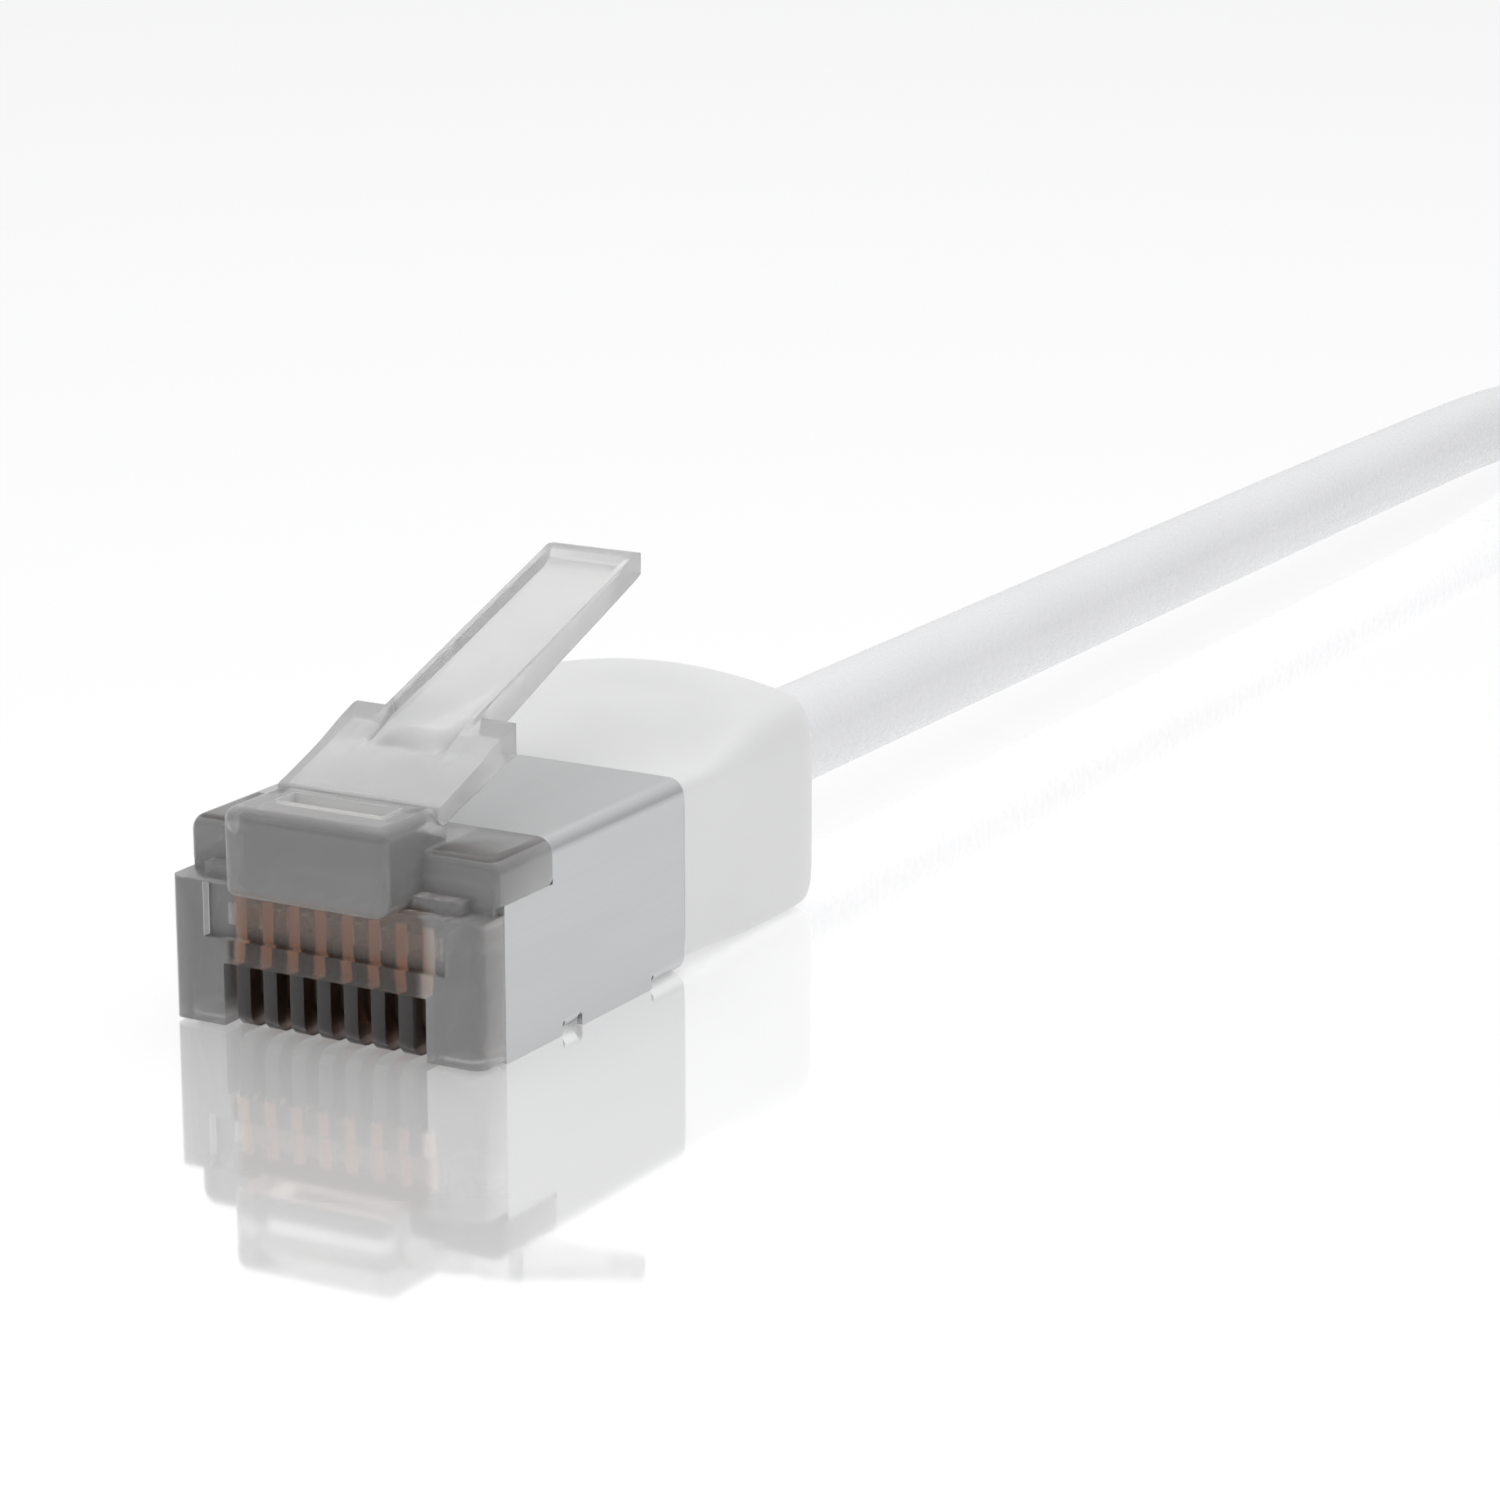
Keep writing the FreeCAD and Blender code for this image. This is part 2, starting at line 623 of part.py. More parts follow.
def cable_hank():
    """Outer shape of the hank: two whole turns, and on its left side the run that leads to the tail."""
    two_high = LAYER[1] + CABLE_RADIUS
    turns = hank_layers(0, two_high)
    last_run = hank_layers(two_high, LAYER[2] + CABLE_RADIUS)
    wide_out = (-HANK_RADIUS, 3 * HANK_RADIUS)
    left_side = block((-HANK_RADIUS, HANK_RADIUS), (0, HANK_FAR), (0, 2 * two_high))
    solid = turns.fuse(last_run.common(left_side))
    room = CABLE_RADIUS + WAY_IN_ROOM
    way_in = block((-CABLE_DIAMETER, room), (0, HANK_NEAR), (-1, room + CABLE_RADIUS))
    under_tie = block(wide_out, tie_span(), (-1, TIE_SHEET))
    return solid.cut([way_in, under_tie]).removeSplitter()


def tie_span():
    return HANK_MIDDLE - TIE_WIDTH / 2, HANK_MIDDLE + TIE_WIDTH / 2


def hank_tie():
    """Hook-and-loop strap drawn round the waist of the hank."""
    y0, y1 = tie_span()
    flare = TIE_WIDTH**2 / (8 * waist_bend()[0])
    edge = WAIST_HALF + CABLE_RADIUS + flare
    step, top = LAYER[1] + CABLE_RADIUS, LAYER[2] + CABLE_RADIUS

    def loop(grow, radius):
        corners = [
            (-edge - grow, TIE_SHEET - grow),
            (edge + grow, TIE_SHEET - grow),
            (edge + grow, step + grow),
            (0.6, top + grow),
            (-edge - grow, top + grow),
        ]
        corners = [Vector(HANK_RADIUS + x, y0, z) for x, z in corners]
        return rounded_face(corners, [radius] * len(corners)).extrude(Vector(0, y1 - y0, 0))

    return loop(TIE_SHEET, 1.2).cut(loop(0, 0.6)).cut(cable_hank())


def main():
    os.makedirs("parts", exist_ok=True)
    pieces = plug_pieces()
    nodes = {**near_plug(pieces), **far_plug(pieces)}
    nodes["cable"] = tube(CABLE_POINTS, CABLE_RADIUS, name="cable")
    nodes["cable_hank"] = cable_hank()
    nodes["hank_tie"] = hank_tie()
    nodes["cable_tail"] = tube(TAIL_POINTS, CABLE_RADIUS, name="cable_tail")
    for name, shape in nodes.items():
        if not shape.isValid():
            print(f"{name} isn't a valid solid")
        shape.exportStep(f"parts/{name}.step")


main()
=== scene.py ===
import json
import math

import bmesh
import bpy
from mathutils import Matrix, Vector


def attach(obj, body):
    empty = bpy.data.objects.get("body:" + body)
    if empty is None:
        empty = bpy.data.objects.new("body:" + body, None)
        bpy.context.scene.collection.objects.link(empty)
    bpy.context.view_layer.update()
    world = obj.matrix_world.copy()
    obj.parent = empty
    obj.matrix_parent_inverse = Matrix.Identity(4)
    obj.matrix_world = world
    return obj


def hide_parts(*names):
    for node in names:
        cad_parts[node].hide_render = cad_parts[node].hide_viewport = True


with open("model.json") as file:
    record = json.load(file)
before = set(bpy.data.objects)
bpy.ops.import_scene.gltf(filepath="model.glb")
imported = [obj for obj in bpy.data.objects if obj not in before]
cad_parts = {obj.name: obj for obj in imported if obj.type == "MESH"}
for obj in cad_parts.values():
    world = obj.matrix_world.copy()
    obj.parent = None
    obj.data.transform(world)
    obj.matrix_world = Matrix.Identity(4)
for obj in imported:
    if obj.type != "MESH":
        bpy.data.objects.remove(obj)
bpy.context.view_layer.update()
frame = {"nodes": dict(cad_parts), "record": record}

MM = 0.001

# ---------------------------------------------------------------- sizes, in millimetres
# A plug is described in plug axes: x across the contacts, y from the nose to the cable, z up to the latch.
PLUG_MIDDLE = 10.66
LIFT = 0.14
BOOT_FRONT = 12.4
BOOT_REAR = 22.35
PLUG_HALF_WIDTH = 5.84
BODY_TOP = 6.47
CABLE_Z = 3.2
EXIT_Y = BOOT_REAR - PLUG_MIDDLE
EXIT_Z = CABLE_Z + LIFT

# Cord: the free run, the hank's turns and the tail are one line
CABLE_DIAMETER = 3.64
CABLE_RADIUS = CABLE_DIAMETER / 2
HANK_RADIUS = 3.05 * CABLE_DIAMETER
HANK_NEAR = 108.0
HANK_FAR = HANK_NEAR + 42.0
HANK_MIDDLE = (HANK_NEAR + HANK_FAR) / 2
WAIST_HALF = CABLE_RADIUS + 0.06
TIE_SHEET = 0.6
TIE_RISE = TIE_SHEET * 1.05
TIE_RISE_REACH = 14
CLIMB_SHARE = 0.62
POINT_SPACING = 5.85
LAYER_RISE = CABLE_DIAMETER + 0.1
LAYER = [CABLE_RADIUS + k * LAYER_RISE for k in range(3)]
CABLE_POINTS = [
    (0, EXIT_Y, EXIT_Z),
    (0, 33.0, 3.338),
    (0, 58.0, 3.32),
    (0, 80.0, 3.27),
    (0, 93.5, 3.1),
    (0, 102.0, 2.15),
]
TAIL_POINTS = [
    (0, HANK_FAR, LAYER[2]),
    (0, HANK_FAR + 10.5, 9.55),
    (0, HANK_FAR + 23.5, 3.41),
    (0, HANK_FAR + 34.5, EXIT_Z),
]
FAR_NOSE = TAIL_POINTS[-1][1] + BOOT_REAR
BETWEEN_PLUGS = (FAR_NOSE - PLUG_MIDDLE) / 2
NOSE_REACH = FAR_NOSE - BETWEEN_PLUGS


def near_place(x, y, z):
    """Where a point of the near plug lies."""
    return Vector((x, y - PLUG_MIDDLE, z + LIFT)) * MM


def far_place(x, y, z):
    """Where a point of the far plug lies: turned end for end, beyond the hank."""
    return Vector((-x, FAR_NOSE - y, z + LIFT)) * MM


def smooth_step(value, low, high):
    """0 up to low, 1 from high on, and a smooth rise between them."""
    share = min(1.0, max(0.0, (value - low) / (high - low)))
    return share * share * (3 - 2 * share)


def new_object(name, data):
    """An object in the scene, at the origin."""
    thing = bpy.data.objects.new(name, data)
    bpy.context.scene.collection.objects.link(thing)
    return thing


def declare(piece, body, slot, *nodes):
    """Says which body a piece moves with and the CAD nodes that it stands for. Its material slot is not used.
    """
    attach(piece, body)
    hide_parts(*nodes)


# ---------------------------------------------------------------- camera, floor and light
CAMERA_PLACE = (78.852, -123.6, 45.5)
CAMERA_LENS = 110.2
CAMERA_PITCH = 14.646
CAMERA_TURN = 29.363
NEAR_CLIP = 0.005
FAR_CLIP = 20.0
FLOOR_HALF = 3.0
FLOOR_TONE = (0.96, 0.96, 0.96, 1)
FLOOR_MIRROR = 0.68
FLOOR_GLOW = 0.25
SKY_BRIGHT_WAY = (-0.2, 0.35, 0.9)
SKY_DIM = (0.40, 0.40, 0.41, 1)
SKY_STRENGTH = 0.95


def make_camera():
    data = bpy.data.cameras.new("camera")
    data.sensor_width = 36.0
    data.lens = CAMERA_LENS
    data.clip_start = NEAR_CLIP
    data.clip_end = FAR_CLIP
    camera = new_object("camera", data)
    camera.location = Vector(CAMERA_PLACE) * MM
    camera.rotation_euler = (math.radians(90 - CAMERA_PITCH), 0, math.radians(CAMERA_TURN))
    bpy.context.scene.camera = camera


def make_floor():
    """A glossy white sheet, as of acrylic, that mirrors what lies on it."""
    half = FLOOR_HALF
    mesh = bpy.data.meshes.new("floor")
    corners = [(-half, -half, 0), (half, -half, 0), (half, half, 0), (-half, half, 0)]
    mesh.from_pydata(corners, [], [(0, 1, 2, 3)])
    floor = new_object("floor", mesh)
    material = bpy.data.materials.new("floor")
    material.use_nodes = True
    shader = material.node_tree.nodes["Principled BSDF"]
    shader.inputs["Base Color"].default_value = FLOOR_TONE
    shader.inputs["Metallic"].default_value = FLOOR_MIRROR
    shader.inputs["Roughness"].default_value = 0.05
    shader.inputs["IOR"].default_value = 1.8
    shader.inputs["Emission Color"].default_value = (1, 1, 1, 1)
    shader.inputs["Emission Strength"].default_value = FLOOR_GLOW
    mesh.materials.append(material)


def make_light(name, place, target, size, power):
    data = bpy.data.lights.new(name, "AREA")
    data.shape = "RECTANGLE"
    data.size = size
    data.size_y = size
    data.energy = power
    light = new_object(name, data)
    light.location = place
    light.rotation_euler = (Vector(target) - Vector(place)).to_track_quat("-Z", "Y").to_euler()


def make_world():
    """White behind and above the object, and dimmer on the side that it is looked at from."""
    world = bpy.data.worlds.new("studio")
    bpy.context.scene.world = world
    world.use_nodes = True
    nodes, links = world.node_tree.nodes, world.node_tree.links
    place = nodes.new("ShaderNodeTexCoord")
    towards = nodes.new("ShaderNodeVectorMath")
    towards.operation = "DOT_PRODUCT"
    towards.inputs[1].default_value = SKY_BRIGHT_WAY
    ramp = nodes.new("ShaderNodeValToRGB")
    links.new(place.outputs["Generated"], towards.inputs[0])
    links.new(towards.outputs["Value"], ramp.inputs["Fac"])
    links.new(ramp.outputs["Color"], nodes["Background"].inputs["Color"])
    dim, bright = ramp.color_ramp.elements
    dim.color = SKY_DIM
    bright.color = (1, 1, 1, 1)
    nodes["Background"].inputs["Strength"].default_value = SKY_STRENGTH


bpy.context.scene.view_settings.view_transform = "Standard"
make_camera()
make_floor()
make_world()
make_light("overhead", place=(0.0, 0.10, 0.60), target=(0, 0.05, 0), size=0.7, power=0.95)
make_light("side", place=(0.30, 0.12, 0.36), target=(0, 0.03, 0), size=0.25, power=0.1)


# ---------------------------------------------------------------- finishes
class Finish:
    """A material under construction: its shader, and short ways to add procedural detail to it."""

    def __init__(self, name, color, roughness, **sockets):
        self.material = bpy.data.materials.new(name)
        self.material.use_nodes = True
        self.nodes = self.material.node_tree.nodes
        self.links = self.material.node_tree.links
        self.shader = self.nodes["Principled BSDF"]
        self.shader.inputs["Base Color"].default_value = (*color, 1)
        self.shader.inputs["Roughness"].default_value = roughness
        for socket, value in sockets.items():
            self.shader.inputs[socket.replace("_", " ")].default_value = value
        self.place = self.nodes.new("ShaderNodeTexCoord").outputs["Object"]
        self.color = None

    def grain(self, scale, detail=3.0, stretch=(1, 1, 1)):
        """Noise on object coordinates. The scale is in repeats per metre."""
        mapping = self.nodes.new("ShaderNodeMapping")
        mapping.inputs["Scale"].default_value = stretch
        noise = self.nodes.new("ShaderNodeTexNoise")
        noise.inputs["Scale"].default_value = scale
        noise.inputs["Detail"].default_value = detail
        self.links.new(self.place, mapping.inputs["Vector"])
        self.links.new(mapping.outputs["Vector"], noise.inputs["Vector"])
        return noise.outputs["Fac"]

    def spread(self, value, low, high, start=0.3, end=0.7):
        """Maps a value onto a range."""
        node = self.nodes.new("ShaderNodeMapRange")
        node.interpolation_type = "SMOOTHSTEP"
        node.inputs["From Min"].default_value = start
        node.inputs["From Max"].default_value = end
        node.inputs["To Min"].default_value = low
        node.inputs["To Max"].default_value = high
        self.links.new(value, node.inputs["Value"])
        return node.outputs["Result"]

    def math(self, operation, a, b=None):
        node = self.nodes.new("ShaderNodeMath")
        node.operation = operation
        for slot, value in zip(node.inputs, (a, b)):
            if isinstance(value, (int, float)):
                slot.default_value = value
            elif value is not None:
                self.links.new(value, slot)
        return node.outputs["Value"]

    def roughen(self, value, low, high):
        self.links.new(self.spread(value, low, high), self.shader.inputs["Roughness"])

    def bump(self, value, height, strength=1.0):
        """Relief of the given height in millimetres."""
        node = self.nodes.new("ShaderNodeBump")
        node.inputs["Strength"].default_value = strength
        node.inputs["Distance"].default_value = height * MM
        self.links.new(value, node.inputs["Height"])
        if self.shader.inputs["Normal"].is_linked:
            self.links.new(self.shader.inputs["Normal"].links[0].from_socket, node.inputs["Normal"])
        self.links.new(node.outputs["Normal"], self.shader.inputs["Normal"])

    def tint(self, mask, color):
        """Mixes a colour over what the shader has so far, by a mask from 0 to 1."""
        node = self.nodes.new("ShaderNodeMix")
        node.data_type = "RGBA"
        base = next(s for s in node.inputs if s.identifier == "A_Color")
        over = next(s for s in node.inputs if s.identifier == "B_Color")
        out = next(s for s in node.outputs if s.identifier == "Result_Color")
        if self.color is None:
            base.default_value = self.shader.inputs["Base Color"].default_value
        else:
            self.links.new(self.color, base)
        over.default_value = (*color, 1)
        self.links.new(mask, node.inputs["Factor"])
        self.links.new(out, self.shader.inputs["Base Color"])
        self.color = out


CLEAR_SOCKETS = {"IOR": 1.45, "Coat_Weight": 0.6, "Coat_Roughness": 0.12}
CLEAR_AMOUNT = 0.74
CLEAREST_AMOUNT = 0.96
# Painted light: how much less clear the latch's slot is, so that its white shows bright.
SLOT_PAINTED_LIGHT = 0.5
# Regions of the clear housing in millimetres: across from its middle, back from its nose, up from the floor.
# A pair is the place up to which the region is whole and the place where it has ended, or a band's two ends.
WALL_ACROSS = (3.4, 3.8)
WALL_HEIGHT = (4.6, 5.2)
WALL_BACK = (1.0, 1.6)
WALL_LIP_HEIGHT = (2.9, 3.4)
WALL_LIP_CLEARNESS = (0.85, 0.45)
RIBS_ACROSS = (3.35, 3.42)
RIBS_HEIGHT = (2.16, 2.26)
BLADES_BACK = (0.86, 0.83)
BLADES_ACROSS = (3.95, 4.0)
BLADES_HEIGHT = (4.4, 4.45)
POCKET_SIDE_ACROSS = (4.52, 4.58)
POCKET_SIDE_BACK = (0.045, 0.285)
POCKET_SIDE_HEIGHT = (2.9, 4.8)
SHOULDER_ACROSS = (3.4, 3.1)
SHOULDER_TOP_HEIGHT = (6.52, 6.72)
SLOT_ACROSS = (2.02, 2.05)
SLOT_BACK = (0.52, 1.58)
SLOT_HEIGHT = (7.11, 7.69)
BAND_BLUR = 0.03


def clear_polycarbonate():
    """Frosted clear plastic with painted shade and painted light on it. Round the contacts it carries brown
    painted shade with a painted view of their metal through it, near black painted shade on the ribs, painted
    shade on the pocket's sides and the shoulders' tops, and painted light in the latch's slot.
    """
    finish = Finish("clear_polycarbonate", (0.90, 0.90, 0.895), 0.25, **CLEAR_SOCKETS)
    split = finish.nodes.new("ShaderNodeSeparateXYZ")
    finish.links.new(finish.place, split.inputs[0])
    across = finish.math("ABSOLUTE", split.outputs["X"])
    from_middle = finish.math("ABSOLUTE", finish.math("SUBTRACT", split.outputs["Y"], BETWEEN_PLUGS * MM))
    back = finish.math("SUBTRACT", NOSE_REACH * MM, from_middle)
    height = split.outputs["Z"]

    def edge(value, whole, ended):
        """1 on the side of whole, and 0 past ended."""
        return finish.spread(value, 1.0, 0.0, whole * MM, ended * MM)

    def band(value, low, high):
        """1 between low and high."""
        middle, half = (low + high) / 2, (high - low) / 2
        offset = finish.math("ABSOLUTE", finish.math("SUBTRACT", value, middle * MM))
        return edge(offset, half, half + BAND_BLUR)

    def where(mask, *others):
        """1 where every mask is 1."""
        for other in others:
            mask = finish.math("MULTIPLY", mask, other)
        return mask

    wall = where(edge(across, *WALL_ACROSS), edge(height, *WALL_HEIGHT), edge(back, *WALL_BACK))
    ribs = where(edge(across, *RIBS_ACROSS), edge(height, *RIBS_HEIGHT))
    blade_bay_painted_shade = where(edge(back, *BLADES_BACK), edge(across, *BLADES_ACROSS), edge(height, *BLADES_HEIGHT))
    pocket_side_painted_shade = where(
        band(across, *POCKET_SIDE_ACROSS),
        band(back, *POCKET_SIDE_BACK),
        band(height, *POCKET_SIDE_HEIGHT),
    )
    shoulder_top_painted_shade = where(band(height, *SHOULDER_TOP_HEIGHT), edge(across, *SHOULDER_ACROSS))
    slot = where(edge(across, *SLOT_ACROSS), band(back, *SLOT_BACK), band(height, *SLOT_HEIGHT))

    finish.tint(finish.spread(finish.grain(700, 3), 0.0, 0.4), (0.84, 0.84, 0.84))
    # Painted shade with a painted view of the contacts' metal: the front wall is tinted brown.
    finish.tint(wall, (0.62, 0.45, 0.36))
    # Painted shade: the ribs between the contacts are tinted near black.
    finish.tint(ribs, (0.17, 0.11, 0.092))
    # Painted shade: the bay round the contact blades is tinted dark brown.
    finish.tint(blade_bay_painted_shade, (0.36, 0.26, 0.22))
    # Painted shade: the pocket's side wall is tinted dark grey.
    finish.tint(pocket_side_painted_shade, (0.3, 0.3, 0.295))
    # Painted shade standing for a dark reflection: the shoulders' tops are tinted dark brown-grey.
    finish.tint(shoulder_top_painted_shade, (0.30, 0.275, 0.26))

    low, high = WALL_LIP_HEIGHT
    wall_clearness = finish.spread(height, *WALL_LIP_CLEARNESS, low * MM, high * MM)
    clearest = finish.math("MAXIMUM", where(wall, wall_clearness), ribs)
    clearness = finish.spread(clearest, CLEAR_AMOUNT, CLEAREST_AMOUNT, 0, 1)
    # Painted light: the latch's slot is made less clear, so that it shows bright white.
    clearness = finish.math("SUBTRACT", clearness, finish.math("MULTIPLY", slot, SLOT_PAINTED_LIGHT))
    finish.links.new(clearness, finish.shader.inputs["Transmission Weight"])
    finish.bump(finish.grain(1300, 2), 0.0006)
    return finish.material


def shield_steel():
    """Nickel-plated sheet, brushed along the plug."""
    finish = Finish("shield_steel", (0.60, 0.605, 0.61), 0.3, Metallic=1.0)
    brushed = finish.grain(9000, 3, (1, 0.012, 1))
    wide_bands = finish.grain(700, 2, (1, 0.08, 1))
    finish.tint(finish.spread(wide_bands, 0.0, 0.35), (0.55, 0.555, 0.56))
    finish.tint(finish.spread(brushed, 0.0, 0.3), (0.66, 0.665, 0.67))
    finish.roughen(brushed, 0.3, 0.38)
    finish.bump(brushed, 0.0004)
    return finish.material


def plated_metal(name, color, roughness):
    """Small metal parts with fine drawing marks."""
    finish = Finish(name, color, roughness, Metallic=1.0)
    marks = finish.grain(5000, 3, (1, 1, 0.1))
    finish.tint(finish.spread(marks, 0.0, 0.3), tuple(0.8 * c for c in color))
    finish.roughen(marks, roughness - 0.06, roughness + 0.1)
    finish.bump(marks, 0.003)
    return finish.material


def tinned_braid():
    """Crossed bundles of fine tinned wire."""
    finish = Finish("tinned_braid", (0.68, 0.68, 0.67), 0.4, Metallic=1.0)
    waves = []
    for direction in (1, -1):
        mapping = finish.nodes.new("ShaderNodeMapping")
        mapping.inputs["Rotation"].default_value = (0, 0, direction * math.radians(35))
        wave = finish.nodes.new("ShaderNodeTexWave")
        wave.inputs["Scale"].default_value = 900
        finish.links.new(finish.place, mapping.inputs["Vector"])
        finish.links.new(mapping.outputs["Vector"], wave.inputs["Vector"])
        waves.append(wave.outputs["Fac"])
    crossed = finish.math("MAXIMUM", *waves)
    finish.roughen(crossed, 0.5, 0.3)
    finish.bump(crossed, 0.04)
    return finish.material


def moulded_plastic(name, color, roughness, height=0.003, **sockets):
    """Soft moulded plastic: a very fine matt grain over slow changes of tone."""
    finish = Finish(name, color, roughness, **sockets)
    slow = finish.grain(160, 2)
    fine = finish.grain(7000, 3)
    finish.tint(finish.spread(slow, 0.0, 0.5), tuple(0.95 * c for c in color))
    finish.roughen(fine, roughness - 0.06, roughness + 0.08)
    finish.bump(fine, height)
    return finish.material


def drawn_jacket(name, color, roughness):
    """Extruded plastic: a fine grain, and slow changes of tone."""
    finish = Finish(name, color, roughness)
    grain = finish.grain(2400, 3)
    slow = finish.grain(120, 2)
    finish.tint(finish.spread(slow, 0.0, 0.5), tuple(0.955 * c for c in color))
    finish.roughen(grain, roughness - 0.05, roughness + 0.07)
    finish.bump(grain, 0.0005)
    return finish.material


def strap_fabric():
    """Hook-and-loop strap: short loops in a woven ground."""
    finish = Finish("tie_white", (0.80, 0.80, 0.79), 0.85, Sheen_Weight=0.4)
    loops = finish.grain(3500, 4)
    weave = finish.nodes.new("ShaderNodeTexWave")
    weave.inputs["Scale"].default_value = 1500
    weave.bands_direction = "Y"
    finish.links.new(finish.place, weave.inputs["Vector"])
    finish.tint(finish.spread(loops, 0.6, 0.0), (0.66, 0.66, 0.66))
    finish.roughen(loops, 0.75, 0.95)
    finish.bump(weave.outputs["Fac"], 0.03)
    finish.bump(loops, 0.06)
    return finish.material


FINISHES = {
    "clear_polycarbonate": clear_polycarbonate(),
    "shield_steel": shield_steel(),
    "contact_gold": plated_metal("contact_gold", (1.0, 0.72, 0.50), 0.5),
    "core_copper": plated_metal("core_copper", (0.80, 0.45, 0.30), 0.3),
    "tinned_braid": tinned_braid(),
    "boot_white": moulded_plastic("boot_white", (0.87, 0.872, 0.875), 0.42),
    "jacket_white": drawn_jacket("jacket_white", (0.90, 0.905, 0.915), 0.28),
    "mould_natural": moulded_plastic("mould_natural", (0.70, 0.69, 0.62), 0.5, 0.006),
    "tie_white": strap_fabric(),
}


def finish_for(slot):
    """The finish of one of the record's material slots. A wire's insulation takes the record's colour."""
    if slot not in FINISHES:
        color = next(m["base_color"] for m in frame["record"]["materials"] if m["slot"] == slot)
        FINISHES[slot] = drawn_jacket(slot, color[:3], 0.36)
    return FINISHES[slot]


# ---------------------------------------------------------------- cord
def hank_bends():
    """The arcs of one whole turn seen from above, from its near right corner: centre, radius and angles."""
    drawn_in = HANK_RADIUS - WAIST_HALF
    half_run = (HANK_FAR - HANK_NEAR) / 2
    bend = (half_run**2 + drawn_in**2) / (4 * drawn_in)
    turn = 2 * math.atan(drawn_in / half_run)
    shoulder, waist, half = HANK_RADIUS - bend, WAIST_HALF + bend, math.pi
    right = [
        (shoulder, HANK_NEAR, bend, 0, turn),
        (waist, HANK_MIDDLE, bend, half + turn, half - turn),
        (shoulder, HANK_FAR, bend, -turn, 0),
    ]
    left = [
        (-shoulder, HANK_FAR, bend, half, half + turn),
        (-waist, HANK_MIDDLE, bend, turn, -turn),
        (-shoulder, HANK_NEAR, bend, half - turn, half),
    ]
    far_fold = [(0, HANK_FAR, HANK_RADIUS, 0, half)]
    near_fold = [(0, HANK_NEAR, HANK_RADIUS, half, 2 * half)]
    return right, far_fold, left, near_fold


def along(arcs):
    """Control points whose smooth line follows the arcs backwards."""
    points = []
    for x, y, radius, start, end in arcs:
        count = max(2, round(radius * abs(end - start) / POINT_SPACING))
        step = (end - start) / count
        reach = radius / math.cos(step / 2)
        for k in range(count):
            angle = start + (k + 0.5) * step
            points.append((HANK_RADIUS + x + reach * math.cos(angle), y + reach * math.sin(angle)))
    return points[::-1]


def hank_points():
    """Two and a half turns: up the left side, over the far fold, down the right side, and so on."""
    down, over, up, under = [along(arcs) for arcs in hank_bends()]
    points = []

    def lay(places, z0, z1):
        for k, (x, y) in enumerate(places):
            climb = smooth_step((k + 0.5) / len(places), 0, CLIMB_SHARE)
            over_tie = TIE_RISE * max(0.0, 1 - (abs(y - HANK_MIDDLE) / TIE_RISE_REACH) ** 2)
            points.append((x, y, z0 + (z1 - z0) * climb + over_tie))

    for layer in (0, 1):
        lay(up, LAYER[layer], LAYER[layer])
        lay(over, LAYER[layer], LAYER[layer])
        lay(down, LAYER[layer], LAYER[layer])
        lay(under, LAYER[layer], LAYER[layer + 1])
    lay(up, LAYER[2], LAYER[2])
    return points


def make_cord():
    points = CABLE_POINTS + hank_points() + TAIL_POINTS[1:]
    curve = bpy.data.curves.new("network_cable", "CURVE")
    curve.dimensions = "3D"
    spline = curve.splines.new("NURBS")
    spline.points.add(len(points) - 1)
    for point, (x, y, z) in zip(spline.points, points):
        point.co = (x * MM, y * MM, z * MM, 1)
    spline.order_u = 3
    spline.use_endpoint_u = True
    spline.resolution_u = 8
    curve.bevel_depth = CABLE_RADIUS * MM
    curve.bevel_resolution = 8
    curve.use_fill_caps = True
    curve.materials.append(FINISHES["jacket_white"])
    cord = new_object("network_cable", curve)
    declare(cord, "lead", "jacket_white", "cable", "cable_hank", "cable_tail")
    return cord


# ---------------------------------------------------------------- boot
SECTION_CORNER = 0.55
REAR_ROUND = 1.4
CREST_ROUND = 0.75
SEAM = 0.04
DISH_HALF = 5.9
DISH_REACH = 7.9
DISH_LIP = (0.80, 1.12)
DISH_SAG = 0.17
DISH_SAG_REACH = 5.2
DISH_RISE = 1.1
DISH_RISE_SPAN = (1.8, DISH_REACH + 1.4)
CROWN_RISE = 1.46
CROWN_FALL = 0.62
CROWN_SPAN = (BOOT_FRONT - 1.5, 21.4)
UNDERSIDE_FRONT = 0.08
UNDERSIDE_DROP = 0.22
UNDERSIDE_SPAN = (14.2, 17.2)
SIDE_TOP = 6.42
SIDE_RISE = 0.2
SIDE_SPAN = (19.0, 22.0)
HOLE_RADIUS = CABLE_RADIUS + 0.06
HOLE_DEPTH = BOOT_REAR - 21.6
BOOT_WALL = 0.5
BOOT_STATIONS = (BOOT_FRONT + SEAM, 12.75, 13.6, 14.8, 16.0, 17.2, 18.3, 19.3, 20.1, BOOT_REAR - REAR_ROUND)


def boot_top(x, y):
    """Height of the boot's top: a crown that rises to the rear, with a thumb dish scooped out of it."""
    rise = smooth_step(y, *CROWN_SPAN)
    crown = BODY_TOP + CROWN_RISE * rise * (1 - CROWN_FALL * (x / PLUG_HALF_WIDTH) ** 2)
    back = y - BOOT_FRONT
    sag = DISH_SAG * math.sin(math.pi * min(1.0, back / DISH_SAG_REACH))
    floor = BODY_TOP - sag + DISH_RISE * smooth_step(back, *DISH_RISE_SPAN)
    inside = (x / DISH_HALF) ** 2 + (back / DISH_REACH) ** 2
    blend = smooth_step(inside, *DISH_LIP)
    return min(crown, floor) * (1 - blend) + crown * blend


def boot_underside(y):
    """The boot's underside is raised at its front and fullest behind."""
    return UNDERSIDE_FRONT - UNDERSIDE_DROP * smooth_step(y, *UNDERSIDE_SPAN)


